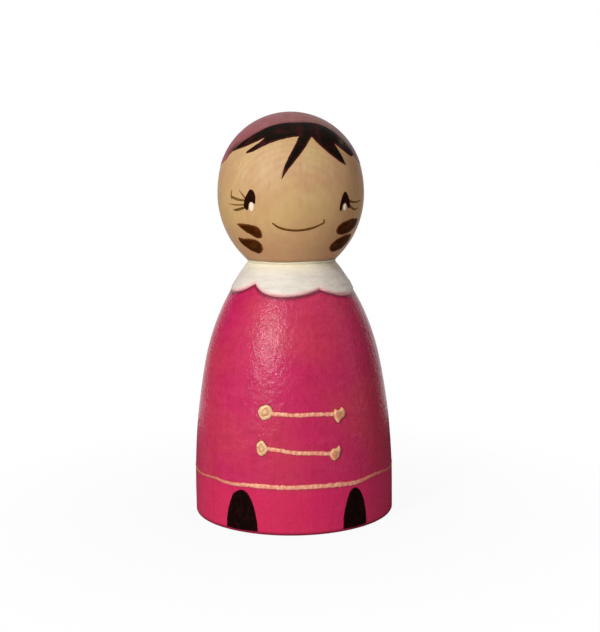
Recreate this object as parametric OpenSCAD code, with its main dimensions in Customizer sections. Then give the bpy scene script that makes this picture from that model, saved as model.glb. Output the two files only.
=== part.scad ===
/* [Body] */
// Diameter of the painted foot
base_d = 45.2; // [43:0.2:50]
// Height of the straight foot
foot_h = 6.2; // [2:0.2:12]
// How much narrower the doll is where the long curve of the skirt meets the shoulder
skirt_taper = 5.6; // [3.2:0.2:8.2]
// Height where the skirt meets the shoulder
shoulder_h = 34.6; // [30:0.2:40]
// Diameter of the joint between body and head
neck_d = 18.9; // [14:0.1:22]
// Height of the joint between body and head
neck_h = 56.8; // [50:0.1:64]
// Bevel round the bottom edge
edge_w = 0.3; // [0.1:0.1:1.5]

/* [Head] */
// Diameter of the head at its widest
head_d = 32.8; // [28:0.2:40]
// Distance past the axis from which the lower side of the head is swept
cheek_past = 3.5; // [1:0.1:8]
// Distance past the axis from which the upper side of the head is swept
brow_past = 8; // [5:0.1:12]
// How much smaller the radius of the crown is than that of the head
crown_less = 0.2; // [0.1:0.05:0.4]

/* [Neck dowel] */
// Diameter of the dowel glued into body and head
dowel_d = 6; // [4:0.5:10]
// Length of the dowel, half of it in each piece
dowel_l = 22; // [12:1:30]
// Room for glue past each end of the dowel
glue_gap = 0.5; // [0.2:0.1:2]

/* [Paint films] */
// Thickness of the coat on the body
coat_t = 0.2; // [0.1:0.05:0.4]
// Thickness of what is painted over the coat and on the head
mark_t = 0.15; // [0.1:0.05:0.3]

/* [Collar] */
// Diameter of the collar over its scallops
collar_d = 28.4; // [24:0.2:32]
// Depth of the notches between the scallops, seen from above
notch_w = 1.3; // [0.5:0.1:2]
// Number of scallops
scallops = 5; // [4:1:8]
// Turn of the front scallop about the axis
collar_turn = -11.4; // [-40:0.1:40]

/* [Gold trim] */
// Height of the hem line
hem_h = 10.6; // [9:0.1:13]
// Width of the painted lines
line_w = 1.1; // [0.6:0.1:2]
// How far the painted lines stand proud
line_rise = 0.25; // [0.1:0.05:0.5]
// Distance between the two knobs of a frog
frog_w = 15.8; // [10:0.2:24]
// Diameter of a knob
knob_d = 3.5; // [2:0.1:5]
// How far a knob stands proud
knob_rise = 0.6; // [0.3:0.05:1.2]
// Height of the upper frog
upper_h = 25.9; // [23:0.1:32]
// Height of the lower frog
lower_h = 17.8; // [16:0.1:20]
// Fall of both frogs towards +X
frog_tilt = 4; // [-10:0.5:10]
// Turn of the lower frog about the axis
lower_turn = -2; // [-10:0.5:10]

/* [Shoes] */
// Width of the shoe at -X
left_shoe_w = 8; // [5:0.1:10]
// Width of the shoe at +X
right_shoe_w = 6.6; // [5:0.1:10]
// Turn of the shoe at -X about the axis
left_shoe_turn = -35.2; // [-60:0.1:-25]
// Turn of the shoe at +X about the axis
right_shoe_turn = 31; // [25:0.1:60]
// Height at which a shoe is widest
shoe_wide_h = 1.6; // [0.2:0.1:3]
// Space between the top of a shoe and the hem line
shoe_gap = 0.8; // [0.3:0.1:3]

/* [Hood] */
// Distance from the axis forward to the edge over the forehead, and radius of its sweep to the side
hood_front = 8.5; // [7:0.1:10]
// Height of the edge at the sides above the widest part of the head
hood_rise = 6.3; // [4:0.1:8]
// Distance from the axis back to where the edge runs down to the neck, and radius of its sweep
hood_back = 6; // [3:0.1:8]
// Space between the lower edge of the hood and the neck joint
hood_gap = 0.6; // [0.3:0.1:3]

/* [Eyes] */
// Width of an eye
eye_w = 2.9; // [2:0.1:4]
// Height of an eye
eye_h = 4.1; // [3:0.1:5]
// Height above its foot at which an eye is widest
eye_wide_h = 1.7; // [1:0.1:2.2]
// Turn of the eye at -X about the axis
left_eye_turn = -37.2; // [-50:0.1:-25]
// Turn of the eye at +X about the axis
right_eye_turn = 40.5; // [25:0.1:50]
// Lean of the eye at -X
eye_lean = 8; // [-15:1:15]
// Depth of the foot of the eye at -X below the widest part of the head
left_eye_drop = 2.9; // [0:0.1:5]
// Depth of the foot of the eye at +X below the widest part of the head
right_eye_drop = 3.2; // [0:0.1:5]
// Width of the white light in an eye
light_w = 1.2; // [0.6:0.1:1.6]
// Height of the white light in an eye
light_h = 1.8; // [1.6:0.1:2.4]
// How far a light reaches below the foot of its eye
light_drop = 0.3; // [0.1:0.1:0.5]
// How far the light at -X stands from the middle of its eye
light_shift = 0.5; // [0:0.1:0.8]

/* [Cheeks] */
// Width of a brush stroke at its round end
cheek_w = 2; // [1:0.1:2.4]
// Turn of the strokes at -X about the axis
left_cheek_turn = -42; // [-55:0.5:-30]
// Turn of the strokes at +X about the axis
right_cheek_turn = 49; // [30:0.5:60]

/* [Hidden] */
$fn = 240;

// Overrun of every cut
over = 1;

// Skirt: a circle that stands upright at the foot and passes through the turn into the shoulder
base_r = base_d / 2;
turn_r = (base_d - skirt_taper) / 2;
turn_h = shoulder_h - foot_h;
skirt_in = base_r - turn_r;
skirt_r = (pow(skirt_in, 2) + pow(turn_h, 2)) / (2 * skirt_in);
skirt_x = base_r - skirt_r;
turn_a = asin(turn_h / skirt_r);

// Shoulder: a circle tangent to the skirt at the turn that passes through the edge of the neck
neck_r = neck_d / 2;
slope_x = turn_r - neck_r;
slope_h = neck_h - shoulder_h;
shoulder_r = (pow(slope_x, 2) + pow(slope_h, 2)) / (2 * (slope_x * cos(turn_a) - slope_h * sin(turn_a)));
shoulder_x = turn_r - shoulder_r * cos(turn_a);
shoulder_z = shoulder_h - shoulder_r * sin(turn_a);

// Head: two side circles that meet upright at its widest, and a crown circle tangent to the upper one
head_r = head_d / 2;
cheek_r = head_r + cheek_past;
brow_r = head_r + brow_past;
crown_r = head_r - crown_less;
wide_z = neck_h + sqrt(pow(cheek_r, 2) - pow(neck_r + cheek_past, 2));
crown_up = sqrt(pow(brow_past + crown_less, 2) - pow(brow_past, 2));
crown_a = atan2(crown_up, brow_past);

// Share of the width of a shoe or an eye that is the radius of its top
arch_top_share = 0.27;

// Reach of the prisms that cut the painted shapes out of their films
reach = head_d + base_d;

// Collar: each scallop is a circle whose neighbours cross it at the notches
scallop_out = collar_d / 2;
notch_r = scallop_out - notch_w;
scallop_a = 360 / scallops;
scallop_x = (pow(scallop_out, 2) - pow(notch_r, 2)) / (2 * (scallop_out - notch_r * cos(scallop_a / 2)));
scallop_r = scallop_out - scallop_x;

// Shoes end below the hem line
shoe_top = hem_h - line_w / 2 - shoe_gap;

// Shares of the head's radius: place and size of what is painted on the face
// A stroke is [from, to, bow to the left of its way, bow to the right of its way]
hair_shares = [
    [[0.2, 0.87], [-0.82, 0.55], 0.3, -0.07],
    [[0.2, 0.82], [-0.59, 0.55], 0.12, -0.02],
    [[0.19, 0.84], [-0.21, 0.19], 0.055, 0.055],
    [[0.16, 0.84], [0.67, 0.385], 0.07, 0.045],
    [[0.16, 0.87], [0.77, 0.485], 0.18, 0.01]];
smile_shares = [
    [[-0.3, -0.375], [0.35, -0.375], -0.065, 0.095],
    [[0.35, -0.38], [0.34, -0.325], 0.012, 0.012]];
left_lash_shares = [
    [[-0.075, 0.165], [-0.16, 0.23], 0.012, 0.012],
    [[-0.09, 0.12], [-0.32, 0.165], 0.014, 0.014],
    [[-0.32, 0.15], [-0.31, 0.25], 0.012, 0.012],
    [[-0.1, 0.055], [-0.39, 0.06], 0.01, 0.01],
    [[-0.08, 0.02], [-0.27, -0.01], 0.014, 0.014]];
right_lash_shares = [
    [[0.075, 0.09], [0.38, 0.115], 0.014, 0.014],
    [[0.075, 0.045], [0.21, -0.01], 0.014, 0.014],
    [[0.2, -0.01], [0.29, 0.015], 0.012, 0.012]];
// A cheek stroke is [tip, middle of the round end], outward from the middle of its cheek
left_cheek_shares = [
    [[0.17, -0.375], [-0.13, -0.46]],
    [[0.23, -0.555], [-0.07, -0.65]]];
right_cheek_shares = [
    [[0.27, -0.36], [-0.14, -0.445]],
    [[0.24, -0.555], [-0.13, -0.65]]];

// Disc whose rim passes through both ends of a level chord and rises above its middle by a bow
module arc_disc(chord, bow) {
    r = (pow(chord / 2, 2) + pow(bow, 2)) / (2 * bow);
    translate([0, bow - r]) circle(r = r);
}

// Brush stroke between two arcs that meet at both ends
module stroke(from, to, left_bow, right_bow) {
    way = to - from;
    chord = norm(way);
    translate((from + to) / 2) rotate(atan2(way[1], way[0]))
        if (right_bow < 0)
            difference() {
                arc_disc(chord, left_bow);
                arc_disc(chord, -right_bow);
            }
        else if (left_bow < 0)
            mirror([0, 1]) difference() {
                arc_disc(chord, right_bow);
                arc_disc(chord, -left_bow);
            }
        else
            intersection() {
                arc_disc(chord, left_bow);
                mirror([0, 1]) arc_disc(chord, right_bow);
            }
}

// Brush strokes listed as shares of the head's radius
module strokes(shares) {
    for (s = shares) stroke(s[0] * head_r, s[1] * head_r, s[2] * head_r, s[3] * head_r);
}

// Brush stroke with a pointed tip and a round end
module petal(tip, end, width) {
    way = tip - end;
    length = norm(way);
    translate(end) rotate(atan2(way[1], way[0])) union() {
        circle(d = width);
        intersection() {
            arc_disc(2 * length, width / 2);
            mirror([0, 1]) arc_disc(2 * length, width / 2);
            translate([0, -width]) square([length + over, 2 * width]);
        }
    }
}

// Arch that stands on its foot, widest at a height above it, with side arcs tangent to its round top
module arch(width, height, wide_h) {
    top_r = arch_top_share * width;
    rise = height - top_r - wide_h;
    side_r = (pow(width / 2, 2) + pow(rise, 2) - pow(top_r, 2)) / (width - 2 * top_r);
    joint_h = wide_h + rise * side_r / (side_r - top_r);
    translate([0, height - top_r]) circle(r = top_r);
    intersection() {
        translate([width / 2 - side_r, wide_h]) circle(r = side_r);
        translate([side_r - width / 2, wide_h]) circle(r = side_r);
        translate([-width, 0]) square([2 * width, joint_h]);
    }
}

// Upright slot with round ends, about its middle
module slot(width, height) {
    straight = height - width;
    translate([-width / 2, -straight / 2]) square([width, straight]);
    for (side = [-1, 1]) translate([0, side * straight / 2]) circle(d = width);
}

// Prism of a shape that faces outward at a turn about the axis
module facing(turn, height) {
    rotate([0, 0, turn]) translate([0, 0, height]) rotate([90, 0, 0])
        linear_extrude(reach) children();
}

// Half outline of the body, grown or shrunk all round but at its base and neck
module body_outline(grow) {
    joint_z = foot_h + (skirt_r + grow) * sin(turn_a);
    square([base_r + grow, foot_h]);
    intersection() {
        translate([skirt_x, foot_h]) circle(r = skirt_r + grow);
        translate([0, foot_h]) square([reach, joint_z - foot_h]);
    }
    intersection() {
        translate([shoulder_x, shoulder_z]) circle(r = shoulder_r + grow);
        translate([0, joint_z]) square([reach, neck_h - joint_z]);
    }
}

// Half outline of the head, grown all round but at its flat underside
module head_outline(grow) {
    joint_z = wide_z + (brow_r + grow) * sin(crown_a);
    intersection() {
        translate([-cheek_past, wide_z]) circle(r = cheek_r + grow);
        translate([0, neck_h]) square([reach, wide_z - neck_h]);
    }
    intersection() {
        translate([-brow_past, wide_z]) circle(r = brow_r + grow);
        translate([0, wide_z]) square([reach, joint_z - wide_z]);
    }
    intersection() {
        translate([0, wide_z + crown_up]) circle(r = crown_r + grow);
        translate([0, joint_z - over]) square([reach, reach]);
    }
}

// Turned solid of an outline, with its seam at the back
module turned() {
    rotate([0, 0, 90]) rotate_extrude() children();
}

// Film of paint over the body's coat, from its inner to its outer height above the coat
module body_film(inner, outer) {
    turned() difference() {
        body_outline(outer);
        body_outline(inner);
        square([reach, edge_w]);
    }
}

// Film of paint on the head
module head_film(outer) {
    turned() difference() {
        head_outline(outer);
        head_outline(0);
    }
}

// Bore for half of the dowel and the glue past its end
module dowel_bore() {
    translate([0, 0, neck_h]) cylinder(d = dowel_d, h = dowel_l + 2 * glue_gap, center = true);
}

// Part of the head in front of the hood's edge, as a prism across the head
module face_opening() {
    side_z = wide_z + hood_rise;
    front_z = side_z + hood_front;
    back_z = side_z - hood_back;
    rotate([90, 0, 90]) linear_extrude(head_d + 2 * over, center = true) {
        translate([-reach, 0]) square([reach + hood_back, back_z]);
        translate([-reach, 0]) square([reach, side_z]);
        translate([0, back_z]) circle(r = hood_back);
        difference() {
            translate([-reach, 0]) square([reach, front_z]);
            translate([0, front_z]) circle(r = hood_front);
        }
        translate([-reach, 0]) square([reach - hood_front, front_z + reach]);
    }
}

// Shape of one painted eye in its own place, and of the white light in it
module eye_shape(lean) {
    rotate(-lean) arch(eye_w, eye_h, eye_wide_h);
}

module light_shape(shift) {
    translate([shift, light_h / 2 - light_drop]) slot(light_w, light_h);
}

module one_eye(turn, drop, lean, shift) {
    color("#1b0f0a") intersection() {
        head_film(mark_t);
        facing(turn, wide_z - drop) difference() {
            eye_shape(lean);
            light_shape(shift);
        }
    }
}

module one_light(turn, drop, shift) {
    color("#f6ead8") intersection() {
        head_film(mark_t);
        facing(turn, wide_z - drop) light_shape(shift);
    }
}

// Lashes start at the edge of their eye
module lashes(turn, drop, lean, shares) {
    color("#5c4218") intersection() {
        head_film(mark_t);
        facing(turn, wide_z - drop) difference() {
            strokes(shares);
            eye_shape(lean);
        }
    }
}

module cheek(turn, side, shares) {
    color("#4b2405") intersection() {
        head_film(mark_t);
        facing(turn, wide_z)
            for (s = shares)
                petal([side * s[0][0], s[0][1]] * head_r, [side * s[1][0], s[1][1]] * head_r, cheek_w);
    }
}

// Radius of the painted skirt at a height
function skirt_radius(z) = skirt_x + sqrt(pow(skirt_r, 2) - pow(z - foot_h, 2));

// Lean of the skirt's surface at a height
function skirt_lean(z) = asin((z - foot_h) / skirt_r);

// Radius of the circle whose cap has this width and rises this far
function cap_radius(width, rise) = (pow(width / 2, 2) + pow(rise, 2)) / (2 * rise);

// Cone that touches the skirt all round at a height, grown by the rise of what is painted on it
module skirt_cone(height, rise) {
    r = skirt_radius(height) + rise;
    half_h = 2 * knob_d;
    step = half_h * tan(skirt_lean(height));
    translate([0, 0, height - half_h]) cylinder(r1 = r + step, r2 = r - step, h = 2 * half_h);
}

// Dome that stands on the skirt at a turn and a height
module knob(turn, height) {
    r = cap_radius(knob_d, knob_rise);
    rotate([0, 0, turn]) translate([0, -skirt_radius(height), height])
        rotate([-skirt_lean(height), 0, 0]) translate([0, r - knob_rise, 0]) sphere(r = r);
}

// Frog: a bar between two domed knobs
module frog(height, turn) {
    half_a = asin(frog_w / 2 / skirt_radius(height));
    fall = frog_w / 2 * tan(frog_tilt);
    color("#f0b878") difference() {
        union() {
            intersection() {
                skirt_cone(height, line_rise);
                facing(turn, height) rotate(-frog_tilt) square([frog_w - knob_d / 2, line_w], center = true);
            }
            for (side = [-1, 1]) knob(turn + side * half_a, height - side * fall);
        }
        skirt_cone(height, 0);
    }
}

module shoe(turn, width) {
    color("#17100e") intersection() {
        body_film(0, mark_t);
        facing(turn, 0) arch(width, shoe_top, shoe_wide_h);
    }
}

module body() {
    color("#cda573") difference() {
        turned() difference() {
            body_outline(-coat_t);
            translate([base_r - coat_t, 0]) polygon([[-edge_w - over, -over], [over, -over], [over, edge_w + over]]);
        }
        dowel_bore();
    }
}

module head() {
    color("#cda573") difference() {
        turned() head_outline(0);
        dowel_bore();
    }
}

module neck_dowel() {
    color("#d9b98a") translate([0, 0, neck_h]) cylinder(d = dowel_d, h = dowel_l, center = true);
}

module coat_paint() {
    color("#c82d5a") body_film(-coat_t, 0);
}

module collar_paint() {
    color("#f2e6d4") intersection() {
        body_film(0, mark_t);
        rotate([0, 0, collar_turn]) linear_extrude(neck_h)
            for (i = [0:scallops - 1]) rotate(i * scallop_a) translate([0, -scallop_x]) circle(r = scallop_r);
    }
}

module hem_line() {
    r = cap_radius(line_w, line_rise);
    color("#f0a878") turned() translate([skirt_radius(hem_h), hem_h])
        rotate(skirt_lean(hem_h)) intersection() {
            translate([line_rise - r, 0]) circle(r = r);
            translate([0, -line_w]) square([line_w, 2 * line_w]);
        }
}

module upper_frog() {
    frog(upper_h, 0);
}

module lower_frog() {
    frog(lower_h, lower_turn);
}

module left_shoe() {
    shoe(left_shoe_turn, left_shoe_w);
}

module right_shoe() {
    shoe(right_shoe_turn, right_shoe_w);
}

module hood_paint() {
    color("#96505f") difference() {
        head_film(mark_t);
        face_opening();
        cylinder(d = reach, h = neck_h + hood_gap);
    }
}

module hair_paint() {
    color("#1a0f0d") intersection() {
        head_film(mark_t);
        face_opening();
        facing(0, wide_z) strokes(hair_shares);
    }
}

module left_eye() {
    one_eye(left_eye_turn, left_eye_drop, eye_lean, light_shift);
}

module right_eye() {
    one_eye(right_eye_turn, right_eye_drop, 0, 0);
}

module left_eye_light() {
    one_light(left_eye_turn, left_eye_drop, light_shift);
}

module right_eye_light() {
    one_light(right_eye_turn, right_eye_drop, 0);
}

module left_lashes() {
    lashes(left_eye_turn, left_eye_drop, eye_lean, left_lash_shares);
}

module right_lashes() {
    lashes(right_eye_turn, right_eye_drop, 0, right_lash_shares);
}

module smile() {
    color("#69411a") intersection() {
        head_film(mark_t);
        facing(0, wide_z) strokes(smile_shares);
    }
}

module left_cheek_strokes() {
    cheek(left_cheek_turn, -1, left_cheek_shares);
}

module right_cheek_strokes() {
    cheek(right_cheek_turn, 1, right_cheek_shares);
}

body();
head();
neck_dowel();
coat_paint();
collar_paint();
hem_line();
upper_frog();
lower_frog();
left_shoe();
right_shoe();
hood_paint();
hair_paint();
left_eye();
right_eye();
left_eye_light();
right_eye_light();
left_lashes();
right_lashes();
smile();
left_cheek_strokes();
right_cheek_strokes();
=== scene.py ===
import math

import bpy
import numpy as np
from mathutils import Matrix, Vector, noise
from mathutils.geometry import delaunay_2d_cdt


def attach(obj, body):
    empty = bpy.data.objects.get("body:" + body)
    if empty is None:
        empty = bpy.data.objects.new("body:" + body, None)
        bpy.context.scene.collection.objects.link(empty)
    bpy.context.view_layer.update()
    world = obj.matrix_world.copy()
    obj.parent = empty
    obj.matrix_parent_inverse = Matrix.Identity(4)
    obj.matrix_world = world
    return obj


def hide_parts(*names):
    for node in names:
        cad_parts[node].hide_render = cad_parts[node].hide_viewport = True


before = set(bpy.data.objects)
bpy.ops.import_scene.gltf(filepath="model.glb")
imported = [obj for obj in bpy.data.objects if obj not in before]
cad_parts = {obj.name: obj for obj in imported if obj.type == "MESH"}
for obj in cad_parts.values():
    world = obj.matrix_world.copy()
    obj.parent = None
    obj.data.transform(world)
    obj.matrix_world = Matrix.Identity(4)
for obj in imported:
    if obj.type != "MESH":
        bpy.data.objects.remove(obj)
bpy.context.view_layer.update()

MM = 0.001

# Body, in millimetres: foot, skirt and shoulder as in the CAD source
BASE_R = 22.6
FOOT_H = 6.2
TURN_R = 19.8
SHOULDER_H = 34.6
NECK_R = 9.45
NECK_H = 56.8
EDGE_W = 0.3
COAT_T = 0.2

SKIRT_IN = BASE_R - TURN_R
TURN_H = SHOULDER_H - FOOT_H
SKIRT_R = (SKIRT_IN ** 2 + TURN_H ** 2) / (2 * SKIRT_IN)
SKIRT_X = BASE_R - SKIRT_R
TURN_A = math.asin(TURN_H / SKIRT_R)
SLOPE_X = TURN_R - NECK_R
SLOPE_H = NECK_H - SHOULDER_H
SLOPE_TURN = SLOPE_X * math.cos(TURN_A) - SLOPE_H * math.sin(TURN_A)
SHOULDER_R = (SLOPE_X ** 2 + SLOPE_H ** 2) / (2 * SLOPE_TURN)
SHOULDER_X = TURN_R - SHOULDER_R * math.cos(TURN_A)
SHOULDER_Z = SHOULDER_H - SHOULDER_R * math.sin(TURN_A)

# Head
HEAD_R = 16.4
CHEEK_PAST = 3.5
BROW_PAST = 8.0
CROWN_LESS = 0.2
CHEEK_R = HEAD_R + CHEEK_PAST
BROW_R = HEAD_R + BROW_PAST
CROWN_R = HEAD_R - CROWN_LESS
WIDE_Z = NECK_H + math.sqrt(CHEEK_R ** 2 - (NECK_R + CHEEK_PAST) ** 2)
CROWN_UP = math.sqrt((BROW_PAST + CROWN_LESS) ** 2 - BROW_PAST ** 2)
JOINT_Z = WIDE_Z + BROW_R * CROWN_UP / (BROW_PAST + CROWN_LESS)

# Painted shapes, each point (degrees round from the front towards +X, height in mm)
# A loop is a list of runs; each run is smooth and its ends are corners
HOOD_EDGE = [
    (-73, 79.4), (-63.7, 81.5), (-55.7, 82.3), (-49, 83), (-41.4, 84), (-33.5, 84.9), (-24.4, 85.6),
    (-11.3, 86.3), (1.9, 86.5), (15.3, 86.4), (26.7, 86.1), (38, 85.6), (46.9, 84.5), (52.6, 83.3),
    (57.1, 82), (61.2, 80.6), (64.5, 79.6)]
HOOD_BACK = [
    (64.5, 79.6), (72, 78.6), (82, 78.2), (91, 78.1), (98.4, 77.7), (105.4, 76.4), (109.8, 74.5),
    (111.5, 72), (112.8, 66), (115.9, 62), (121, 59), (128, 57.5)]
HOOD_NECK = [(128, 57.5), (145, 57.4), (162, 57.5), (180, 57.4), (197, 57.5), (214, 57.45), (232, 57.5)]
HOOD_RETURN = [
    (232, 57.5), (239, 59), (244.1, 62), (247.2, 66), (248.5, 72), (250.2, 74.5), (254.6, 76.4),
    (261.6, 77.7), (270, 78.3), (279, 78.8), (287, 79.4)]
HOOD = [HOOD_EDGE, HOOD_BACK, HOOD_NECK, HOOD_RETURN]

HAIR = [
    [(-66.5, 81.2), (-61, 82.3), (-55.7, 83.4), (-49, 84.35), (-41.4, 85.4), (-33.5, 86.25),
     (-24.4, 86.8), (-11.3, 87.15), (1.9, 87.2), (15.3, 87.25), (26.7, 87.15), (38, 86.75),
     (46.9, 85.85), (52.6, 84.65), (57.1, 83.2), (61.2, 81.6), (63.5, 80.3)],
    [(63.5, 80.2), (57, 79.95), (51.1, 80.6), (45.6, 81.5), (39.2, 82.75)],
    [(39.2, 82.75), (40.2, 81.5), (42.5, 79.95), (44.4, 78)],
    [(44.4, 78), (36.6, 79.1), (28.4, 80.76), (21.1, 82.6), (16.4, 84.1)],
    [(16.4, 84.1), (7.8, 81.8), (0.5, 79.6), (-8, 76.8), (-12, 75.1)],
    [(-12, 75.1), (-10.5, 77.3), (-6.6, 79.8), (-0.8, 82.4), (3.6, 84.2)],
    [(3.6, 84.2), (-7.7, 83.85), (-19.9, 83.1), (-29.7, 82.2), (-38, 81.15), (-45.8, 80.7)],
    [(-45.8, 80.7), (-44.6, 81.3), (-39.9, 82.1), (-34, 83.15), (-30.2, 84.05)],
    [(-30.2, 84.05), (-38.2, 83.2), (-46.9, 82.4), (-55.8, 81.8), (-61.5, 81.5), (-66.5, 81.2)]]

LEFT_EYE = [
    [(-40.5, 68.8), (-39, 69.1), (-38.1, 70.1), (-36.2, 70.5), (-34, 70.3), (-32.6, 70.2), (-32.1, 71.6),
     (-33.6, 72.8), (-36.7, 73.25), (-39.7, 72.2), (-42.3, 70.8), (-43, 69.6), (-40.5, 68.8)]]
RIGHT_EYE = [
    [(36.2, 68.3), (37.4, 68.6), (38, 69.6), (40, 70.1), (42, 69.8), (43.6, 69.1), (45.8, 68.9),
     (46.3, 69.6), (44.9, 70.6), (43.2, 71.7), (40.2, 72.5), (37.6, 71.8), (35.7, 70.4), (34.9, 69),
     (36.2, 68.3)]]
LEFT_LIGHT = [
    [(-35.6, 70.55), (-33.9, 70.2), (-33.5, 69.5), (-34.4, 68.8), (-36.2, 68.5), (-37.6, 68.9),
     (-37.9, 69.7), (-37.1, 70.4), (-35.6, 70.55)]]
RIGHT_LIGHT = [
    [(40.2, 69.9), (41.6, 69.65), (42.1, 69.1), (41.5, 68.6), (40.2, 68.45), (39, 68.7), (38.5, 69.2),
     (39, 69.7), (40.2, 69.9)]]
LEFT_UPPER_CHEEK = [
    [(-53.9, 65.75), (-47, 65.9), (-39.3, 65.7), (-33.2, 65.3), (-30.2, 64.3), (-30.4, 63.2),
     (-33.5, 62.7), (-38.5, 63), (-43.9, 63.75), (-49.9, 64.7), (-53.9, 65.75)]]
LEFT_LOWER_CHEEK = [
    [(-59.5, 62.7), (-52, 62.6), (-43.6, 62.65), (-36.8, 62.3), (-33.3, 61.3), (-34.3, 60.1),
     (-40.4, 59.3), (-47.5, 59.6), (-54.5, 60.5), (-59.8, 61.6), (-59.5, 62.7)]]
RIGHT_UPPER_CHEEK = [
    [(64.5, 66.3), (57, 66.6), (50.3, 66.45), (40.8, 65.9), (36, 65), (36, 63.95), (40.4, 63.2),
     (48.3, 63.15), (57.1, 63.7), (64, 64.9), (64.5, 66.3)]]
RIGHT_LOWER_CHEEK = [
    [(62, 63), (56, 63.1), (47, 62.85), (39.1, 62.1), (35.2, 61), (36.2, 60.1), (41.5, 59.4),
     (50.6, 59.5), (58.5, 60.2), (63.5, 61.5), (62, 63)]]

# Pen and brush lines: [points, widths in mm at those points]
SMILE = [
    (-19.5, 66.05), (-16.2, 65.35), (-11.5, 64.85), (-5.4, 64.55), (0, 64.48), (6, 64.62), (12.2, 64.95),
    (17.8, 65.5), (21.6, 66)]
SMILE_WIDTHS = [0.35, 0.5, 0.55, 0.5, 0.52, 0.55, 0.5, 0.42, 0.34]
SMILE_TICK = [(21.1, 65.75), (21.6, 66.2), (21.4, 66.75)]
TICK_WIDTHS = [0.3, 0.42, 0.24]
LEFT_LASHES = [
    [[(-41.5, 71.4), (-43.8, 72.1), (-46.9, 73)], [0.4, 0.33, 0.18]],
    [[(-42, 70.9), (-46, 70.95), (-51, 71.2), (-55.6, 71.6)], [0.47, 0.55, 0.62, 0.5]],
    [[(-55.9, 71.2), (-56.1, 72.1), (-55.2, 73.1)], [0.33, 0.4, 0.18]],
    [[(-42.6, 70), (-48, 69.9), (-54, 69.95), (-60.4, 70.1)], [0.38, 0.33, 0.3, 0.15]],
    [[(-42, 69.4), (-47, 69.05), (-51, 68.85), (-54.5, 68.8)], [0.53, 0.62, 0.58, 0.28]]]
RIGHT_LASHES = [
    [[(44.2, 70.6), (49, 70.2), (56, 70.15), (64.5, 70.5)], [0.62, 0.53, 0.38, 0.18]],
    [[(45.5, 69.5), (50, 68.85), (54.5, 68.5), (59, 68.8)], [0.55, 0.53, 0.45, 0.2]]]

LEFT_SHOE = [
    [(-25.2, 0.55), (-25.6, 2.4), (-26.7, 4.96), (-28.9, 7.5), (-32, 9.1), (-35.7, 9.45), (-40.2, 8.5),
     (-43.2, 6.1), (-45.1, 3.24), (-45.7, 0.55)],
    [(-45.7, 0.55), (-35.5, 0.5), (-25.2, 0.55)]]
RIGHT_SHOE = [
    [(38.8, 0.55), (38.5, 3.2), (36.9, 6.1), (34, 8.5), (30.5, 9.35), (27.1, 8.6), (24.5, 6.4),
     (22.9, 3.7), (22.4, 0.55)],
    [(22.4, 0.55), (30.5, 0.5), (38.8, 0.55)]]

UPPER_LEFT_KNOB = [
    [(-25.9, 26.3), (-24.6, 27.6), (-21.2, 28.2), (-17.6, 27.7), (-16.2, 26.5), (-17.5, 25.4),
     (-20.8, 24.7), (-23.9, 25), (-25.9, 26.3)]]
UPPER_RIGHT_KNOB = [
    [(18.2, 25.9), (19.6, 26.9), (22, 26.6), (24.2, 27.15), (26.4, 26.2), (26, 25.1), (23.4, 24.3),
     (20.8, 23.6), (18.8, 24.7), (18.2, 25.9)]]
LOWER_LEFT_KNOB = [
    [(-26.1, 18.7), (-25.8, 19.9), (-23.1, 20.7), (-20.2, 19.9), (-18.4, 18.9), (-19.6, 17.9),
     (-22.8, 17.05), (-25.1, 17.5), (-26.1, 18.7)]]
LOWER_RIGHT_KNOB = [
    [(14.6, 17.3), (16.4, 18.5), (19.2, 18.6), (20.8, 19.3), (22, 17.9), (20.9, 16.5), (18, 15.7),
     (15.7, 16.3), (14.6, 17.3)]]
UPPER_BAR = [(-17.5, 26.15), (-12, 26.1), (-6, 25.95), (0, 25.9), (6, 25.95), (12, 25.85), (19.5, 25.65)]
LOWER_BAR = [(-19.5, 18.75), (-13, 18.55), (-6, 18.1), (0, 17.9), (6, 17.8), (11, 17.6), (16, 17.4)]
BAR_W = 1.05
HEM_LINE = [
    (-180, 10.5), (-150, 10.7), (-120, 10.5), (-95, 10.45), (-73, 10.3), (-64, 10.5), (-55, 10.75),
    (-48, 10.5), (-41, 10.42), (-33, 10.6), (-25, 10.7), (-15, 10.62), (-6, 10.6), (3, 10.68),
    (12, 10.62), (20, 10.55), (29, 10.35), (36, 10.5), (44, 10.9), (54, 10.9), (65, 10.5), (90, 10.6),
    (120, 10.45), (150, 10.65), (180, 10.5)]
HEM_W = 1.15
LINE_RISE = 0.24
# Valleys between the collar's scallops, and the lowest point of the scallop that follows each
COLLAR_VALLEYS = [(-116.6, 52.1), (-44.4, 52.45), (21.9, 51.35), (96, 51.9), (169.6, 52)]
COLLAR_LOWS = [50.3, 49.95, 49.55, 49.9, 50.1]
LAP_H, LAP_RISE = 0.5, 0.16

# Films of paint, in mm: height, width of the rounded rim, step of the mesh, waver of the outline and what
# the brush's hairs add to it; relief is the share by which the height comes and goes
KNOB_FILM = dict(lift=0.5, edge=1.1, step=0.16, waver=0.1, relief=0.35)
SHOE_FILM = dict(lift=0.1, edge=0.3, step=0.35, waver=0.07, relief=0.2, ragged=0.05)
HOOD_FILM = dict(lift=0.07, edge=0.25, step=0.5, waver=0.08, relief=0.1)
HAIR_FILM = dict(lift=0.17, edge=0.2, step=0.3, waver=0.06, relief=0.1)
EYE_FILM = dict(lift=0.12, edge=0.15, step=0.14, waver=0.03, relief=0.1)
LIGHT_FILM = dict(lift=0.2, edge=0.2, step=0.12, waver=0.02, relief=0.1)
LASH_FILM = dict(edge=0.1, step=0.12, waver=0.02, relief=0.1)
SMILE_FILM = dict(edge=0.12, step=0.12, waver=0.02, relief=0.1)
CHEEK_FILM = dict(lift=0.09, edge=0.2, step=0.22, waver=0.08, relief=0.3, ragged=0.14)
RAGGED_STEP = 0.1
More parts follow.
